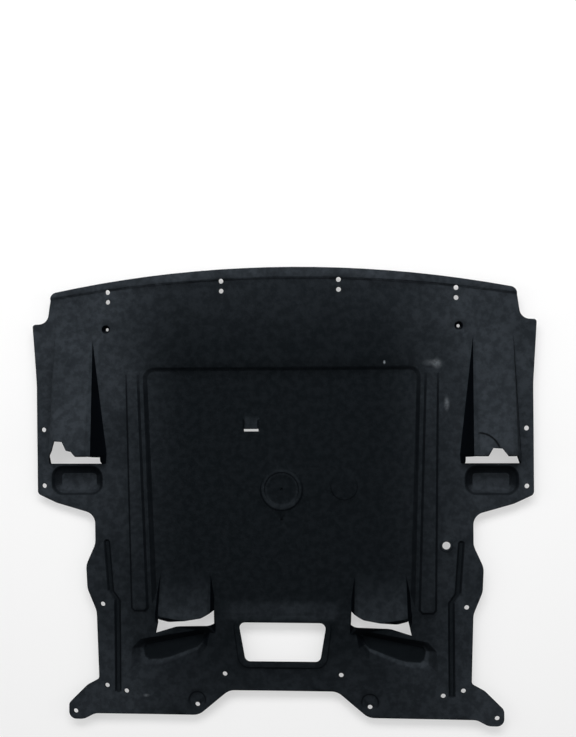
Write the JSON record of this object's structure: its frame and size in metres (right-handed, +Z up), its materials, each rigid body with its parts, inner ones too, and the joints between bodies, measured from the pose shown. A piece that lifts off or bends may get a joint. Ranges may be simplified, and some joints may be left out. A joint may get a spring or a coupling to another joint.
{
  "type": "engine guard",
  "caption": "Pressed felt undertray for a car's engine bay, with air hoods on its wings, rear scoops, a service window and screw holes round its edge.",
  "frame": {"origin": "under the middle of the sheet, on the level of the pocket floors it rests on", "axes": "+X to the right across the car, +Y forward to the bowed front edge, +Z up towards the engine"},
  "size_m": [0.8854, 0.7979, 0.059],
  "materials": {
    "felt": "matte black needled felt, scuffed on its raised forms"
  },
  "bodies": {
    "root": {"engine_guard": "felt"}
  },
  "joints": []
}
